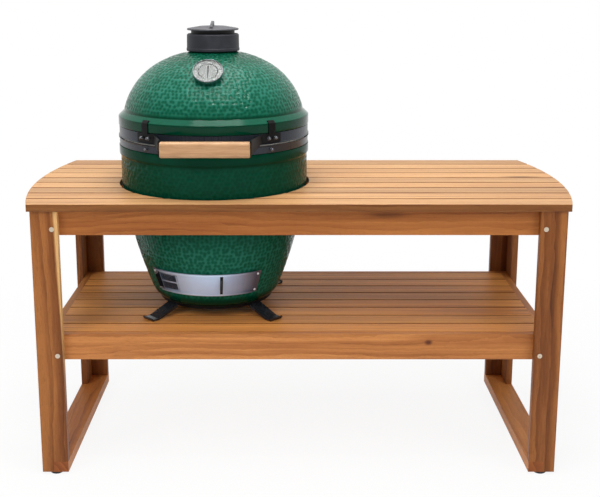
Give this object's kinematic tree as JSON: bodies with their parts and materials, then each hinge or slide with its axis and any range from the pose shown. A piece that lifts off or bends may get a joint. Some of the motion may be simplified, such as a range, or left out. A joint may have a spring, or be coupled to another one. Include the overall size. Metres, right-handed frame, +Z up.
{
  "type": "kamado grill table",
  "caption": "Green dimpled ceramic kamado grill with a hinged dome, chimney cap and draft door, standing through a slatted acacia table with a shelf.",
  "frame": {"origin": "on the floor, under the middle of the table's footprint", "axes": "+X along the table to the right seen from the front, +Y to the back, +Z up; the front faces -Y"},
  "size_m": [1.52, 0.696, 1.2313],
  "materials": {
    "acacia": "oiled acacia boards with streaky grain, small knots and paler sapwood",
    "glide_plastic": "black moulded plastic",
    "bolt_steel": "plain stainless steel",
    "black_steel": "black powder-coated steel",
    "green_glaze": "glossy green glaze over a dimpled ceramic body, smooth on the rims",
    "gasket_felt": "pale heat-proof felt",
    "fire_clay": "bare buff fire clay",
    "cast_iron": "dark grey cast iron, lightly grained",
    "stainless": "brushed stainless sheet",
    "band_steel": "dark grey satin steel band",
    "spring_steel": "plain spring steel",
    "nut_steel": "bright plated acorn nuts and screws",
    "handle_wood": "pale planed bamboo, bare of any mark",
    "bezel_chrome": "polished chrome bezel",
    "dial_white": "white dial with plain printed scale marks",
    "lens_glass": "clear flat glass",
    "needle_black": "black painted needle"
  },
  "bodies": {
    "table": {"top_board_1": "acacia", "top_board_2": "acacia", "top_board_3": "acacia", "top_board_4": "acacia", "top_board_5": "acacia", "top_board_6": "acacia", "top_board_7": "acacia", "top_board_8": "acacia", "top_board_9": "acacia", "top_cleats": "acacia", "shelf_cleats": "acacia", "leg_front_left": "acacia", "leg_front_right": "acacia", "leg_rear_left": "acacia", "leg_rear_right": "acacia", "skid_left": "acacia", "skid_right": "acacia", "apron_front": "acacia", "apron_rear": "acacia", "apron_left": "acacia", "apron_right": "acacia", "shelf_rail_front": "acacia", "shelf_rail_rear": "acacia", "shelf_rail_left": "acacia", "shelf_rail_right": "acacia", "shelf_slats": "acacia", "foot_glides": "glide_plastic", "frame_bolts": "bolt_steel", "nest_ring": "black_steel", "nest_feet": "black_steel", "base_shell": "green_glaze", "base_gasket": "gasket_felt", "fire_box": "fire_clay", "fire_grate": "cast_iron", "fire_ring": "fire_clay", "cooking_grid": "stainless", "draft_frame": "stainless", "lower_band": "band_steel", "hinge_base_bracket": "black_steel", "hinge_pin": "bolt_steel", "hinge_springs": "spring_steel", "base_fasteners": "nut_steel"},
    "dome": {"dome_shell": "green_glaze", "dome_gasket": "gasket_felt", "upper_band": "band_steel", "handle_bar": "handle_wood", "handle_brackets": "black_steel", "rim_clips": "black_steel", "hinge_dome_bracket": "black_steel", "dome_fasteners": "nut_steel", "thermometer_case": "bezel_chrome", "thermometer_dial": "dial_white", "thermometer_lens": "lens_glass", "cap_body": "cast_iron", "cap_pivot": "bolt_steel"},
    "draft_door": {"draft_door": "stainless"},
    "draft_screen": {"draft_screen": "stainless"},
    "needle": {"thermometer_needle": "needle_black"},
    "vent_wheel": {"cap_vent_wheel": "cast_iron"},
    "cap_lid": {"cap_lid": "cast_iron"}
  },
  "joints": [
    {"name": "dome_hinge", "type": "hinge", "parent": "table", "child": "dome", "pos_m": [-0.243, 0.33, 0.911], "axis": [-1, 0, 0], "range_deg": [0, 70], "stiffness_Nm_per_rad": 30, "springref_deg": 91.67},
    {"name": "draft_door_slide", "type": "hinge", "parent": "table", "child": "draft_door", "pos_m": [-0.243, 0, 0.5125], "axis": [0, 0, 1], "range_deg": [-17, 6.5]},
    {"name": "draft_screen_slide", "type": "hinge", "parent": "table", "child": "draft_screen", "pos_m": [-0.243, 0, 0.5125], "axis": [0, 0, 1], "range_deg": [0, 17]},
    {"name": "vent_wheel_turn", "type": "hinge", "parent": "dome", "child": "vent_wheel", "pos_m": [-0.243, 0, 1.1976], "axis": [0, 0, 1], "range_deg": [0, 36]},
    {"name": "cap_lid_swing", "type": "hinge", "parent": "dome", "child": "cap_lid", "pos_m": [-0.243, 0.051, 1.2088], "axis": [0, 0, 1], "range_deg": [0, 100]},
    {"name": "needle_turn", "type": "hinge", "parent": "dome", "child": "needle", "pos_m": [-0.243, -0.187, 1.09432], "axis": [0, -0.6691, 0.7431], "range_deg": [-300, 0], "stiffness_Nm_per_rad": 0.0005}
  ]
}
